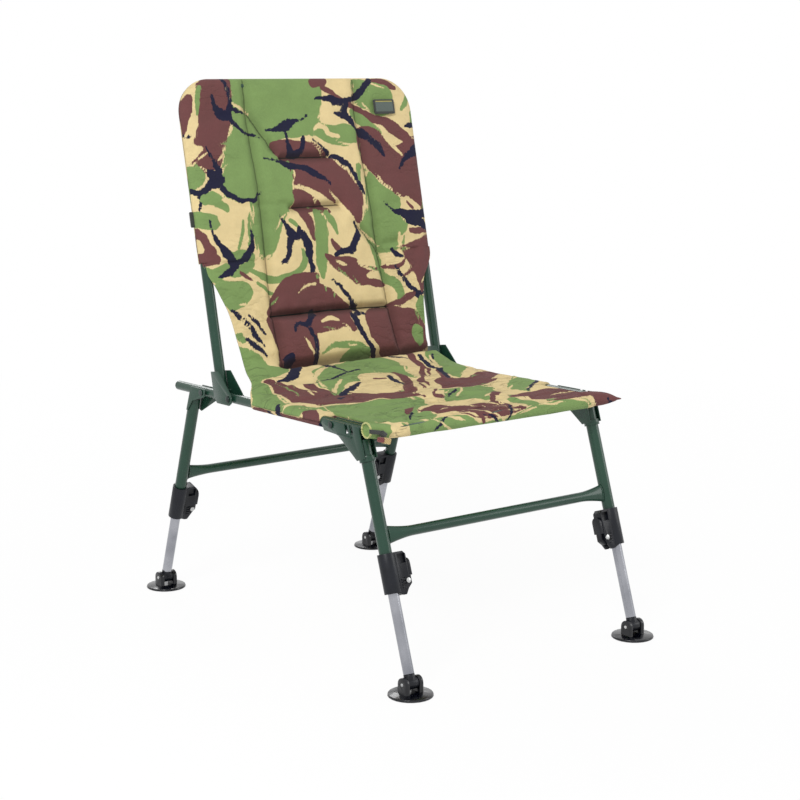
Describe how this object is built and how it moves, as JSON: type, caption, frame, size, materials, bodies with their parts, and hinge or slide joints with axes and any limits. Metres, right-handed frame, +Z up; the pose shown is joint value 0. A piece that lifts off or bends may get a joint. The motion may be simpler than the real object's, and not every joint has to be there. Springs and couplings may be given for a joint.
{
  "type": "folding chair",
  "caption": "Low folding outdoor chair: padded camouflage cover on a bent tube seat and fold-down back, telescopic legs with cam clamps and round swivelling feet.",
  "frame": {"origin": "On the ground, midway between the four feet and on the chair's middle line.", "axes": "+X to the right across the chair as seen from the front, +Y towards the back, +Z up."},
  "size_m": [0.53, 0.786, 0.8978],
  "materials": {
    "paint": "satin green powder coat",
    "cover": "woven polyester with a camouflage print",
    "badge": "plain sewn label",
    "inner_legs": "satin",
    "fasteners": "zinc plated",
    "plastic": "moulded, satin",
    "feet": "moulded, glossy"
  },
  "bodies": {
    "seat": {"seat_tube": "paint", "rail_cap_left": "plastic", "back_bolt_left": "fasteners", "front_leg_bolt_left": "fasteners", "rear_leg_bolt_left": "fasteners", "rail_cap_right": "plastic", "back_bolt_right": "fasteners", "front_leg_bolt_right": "fasteners", "rear_leg_bolt_right": "fasteners", "seat_cover": "cover", "lumbar_cover": "cover"},
    "backrest": {"back_tube": "paint", "back_bracket_left": "paint", "back_bracket_right": "paint", "back_cover": "cover", "badge": "badge", "side_tab": "cover"},
    "front_legs": {"front_crossbar": "paint", "front_left_leg_tube": "paint", "front_left_leg_bracket": "paint", "front_left_clamp": "plastic", "front_left_clamp_pin": "fasteners", "front_right_leg_tube": "paint", "front_right_leg_bracket": "paint", "front_right_clamp": "plastic", "front_right_clamp_pin": "fasteners"},
    "rear_legs": {"rear_crossbar": "paint", "rear_left_leg_tube": "paint", "rear_left_leg_bracket": "paint", "rear_left_clamp": "plastic", "rear_left_clamp_pin": "fasteners", "rear_right_leg_tube": "paint", "rear_right_leg_bracket": "paint", "rear_right_clamp": "plastic", "rear_right_clamp_pin": "fasteners"},
    "front_left_lever": {"front_left_clamp_lever": "plastic"},
    "front_left_inner_leg": {"front_left_inner_tube": "inner_legs", "front_left_end_plug": "plastic", "front_left_foot_pin": "fasteners"},
    "front_left_foot": {"front_left_foot": "feet"},
    "front_right_lever": {"front_right_clamp_lever": "plastic"},
    "front_right_inner_leg": {"front_right_inner_tube": "inner_legs", "front_right_end_plug": "plastic", "front_right_foot_pin": "fasteners"},
    "front_right_foot": {"front_right_foot": "feet"},
    "rear_left_lever": {"rear_left_clamp_lever": "plastic"},
    "rear_left_inner_leg": {"rear_left_inner_tube": "inner_legs", "rear_left_end_plug": "plastic", "rear_left_foot_pin": "fasteners"},
    "rear_left_foot": {"rear_left_foot": "feet"},
    "rear_right_lever": {"rear_right_clamp_lever": "plastic"},
    "rear_right_inner_leg": {"rear_right_inner_tube": "inner_legs", "rear_right_end_plug": "plastic", "rear_right_foot_pin": "fasteners"},
    "rear_right_foot": {"rear_right_foot": "feet"}
  },
  "joints": [
    {"name": "back_fold", "type": "hinge", "parent": "seat", "child": "backrest", "pos_m": [0, 0.11799, 0.37846], "axis": [1, 0, 0], "range_deg": [0, 100], "deforming": ["lumbar_cover"]},
    {"name": "front_legs_fold", "type": "hinge", "parent": "seat", "child": "front_legs", "pos_m": [0, -0.17499, 0.38229], "axis": [1, 0, 0], "range_deg": [0, 86]},
    {"name": "rear_legs_fold", "type": "hinge", "parent": "seat", "child": "rear_legs", "pos_m": [0, 0.20298, 0.37734], "axis": [-1, 0, 0], "range_deg": [0, 105]},
    {"name": "front_left_leg_slide", "type": "slide", "parent": "front_legs", "child": "front_left_inner_leg", "axis": [0, 0.3133, 0.9497], "range_m": [-0.03, 0.095]},
    {"name": "front_left_clamp_open", "type": "hinge", "parent": "front_legs", "child": "front_left_lever", "pos_m": [-0.205, -0.31107, 0.16126], "axis": [0, 0.9497, -0.3133], "range_deg": [0, 100]},
    {"name": "front_left_foot_swivel", "type": "hinge", "parent": "front_left_inner_leg", "child": "front_left_foot", "pos_m": [-0.23, -0.358, 0.019], "axis": [1, 0, 0], "range_deg": [-35, 35]},
    {"name": "front_right_leg_slide", "type": "slide", "parent": "front_legs", "child": "front_right_inner_leg", "axis": [0, 0.3133, 0.9497], "range_m": [-0.03, 0.095]},
    {"name": "front_right_clamp_open", "type": "hinge", "parent": "front_legs", "child": "front_right_lever", "pos_m": [0.205, -0.31107, 0.16126], "axis": [0, -0.9497, 0.3133], "range_deg": [0, 100]},
    {"name": "front_right_foot_swivel", "type": "hinge", "parent": "front_right_inner_leg", "child": "front_right_foot", "pos_m": [0.23, -0.358, 0.019], "axis": [1, 0, 0], "range_deg": [-35, 35]},
    {"name": "rear_left_leg_slide", "type": "slide", "parent": "rear_legs", "child": "rear_left_inner_leg", "axis": [0, -0.3144, 0.9493], "range_m": [-0.03, 0.095]},
    {"name": "rear_left_clamp_open", "type": "hinge", "parent": "rear_legs", "child": "rear_left_lever", "pos_m": [-0.205, 0.31353, 0.15328], "axis": [0, 0.9493, 0.3144], "range_deg": [0, 100]},
    {"name": "rear_left_foot_swivel", "type": "hinge", "parent": "rear_left_inner_leg", "child": "rear_left_foot", "pos_m": [-0.23, 0.358, 0.019], "axis": [-1, 0, 0], "range_deg": [-35, 35]},
    {"name": "rear_right_leg_slide", "type": "slide", "parent": "rear_legs", "child": "rear_right_inner_leg", "axis": [0, -0.3144, 0.9493], "range_m": [-0.03, 0.095]},
    {"name": "rear_right_clamp_open", "type": "hinge", "parent": "rear_legs", "child": "rear_right_lever", "pos_m": [0.205, 0.31353, 0.15328], "axis": [0, -0.9493, -0.3144], "range_deg": [0, 100]},
    {"name": "rear_right_foot_swivel", "type": "hinge", "parent": "rear_right_inner_leg", "child": "rear_right_foot", "pos_m": [0.23, 0.358, 0.019], "axis": [-1, 0, 0], "range_deg": [-35, 35]}
  ]
}
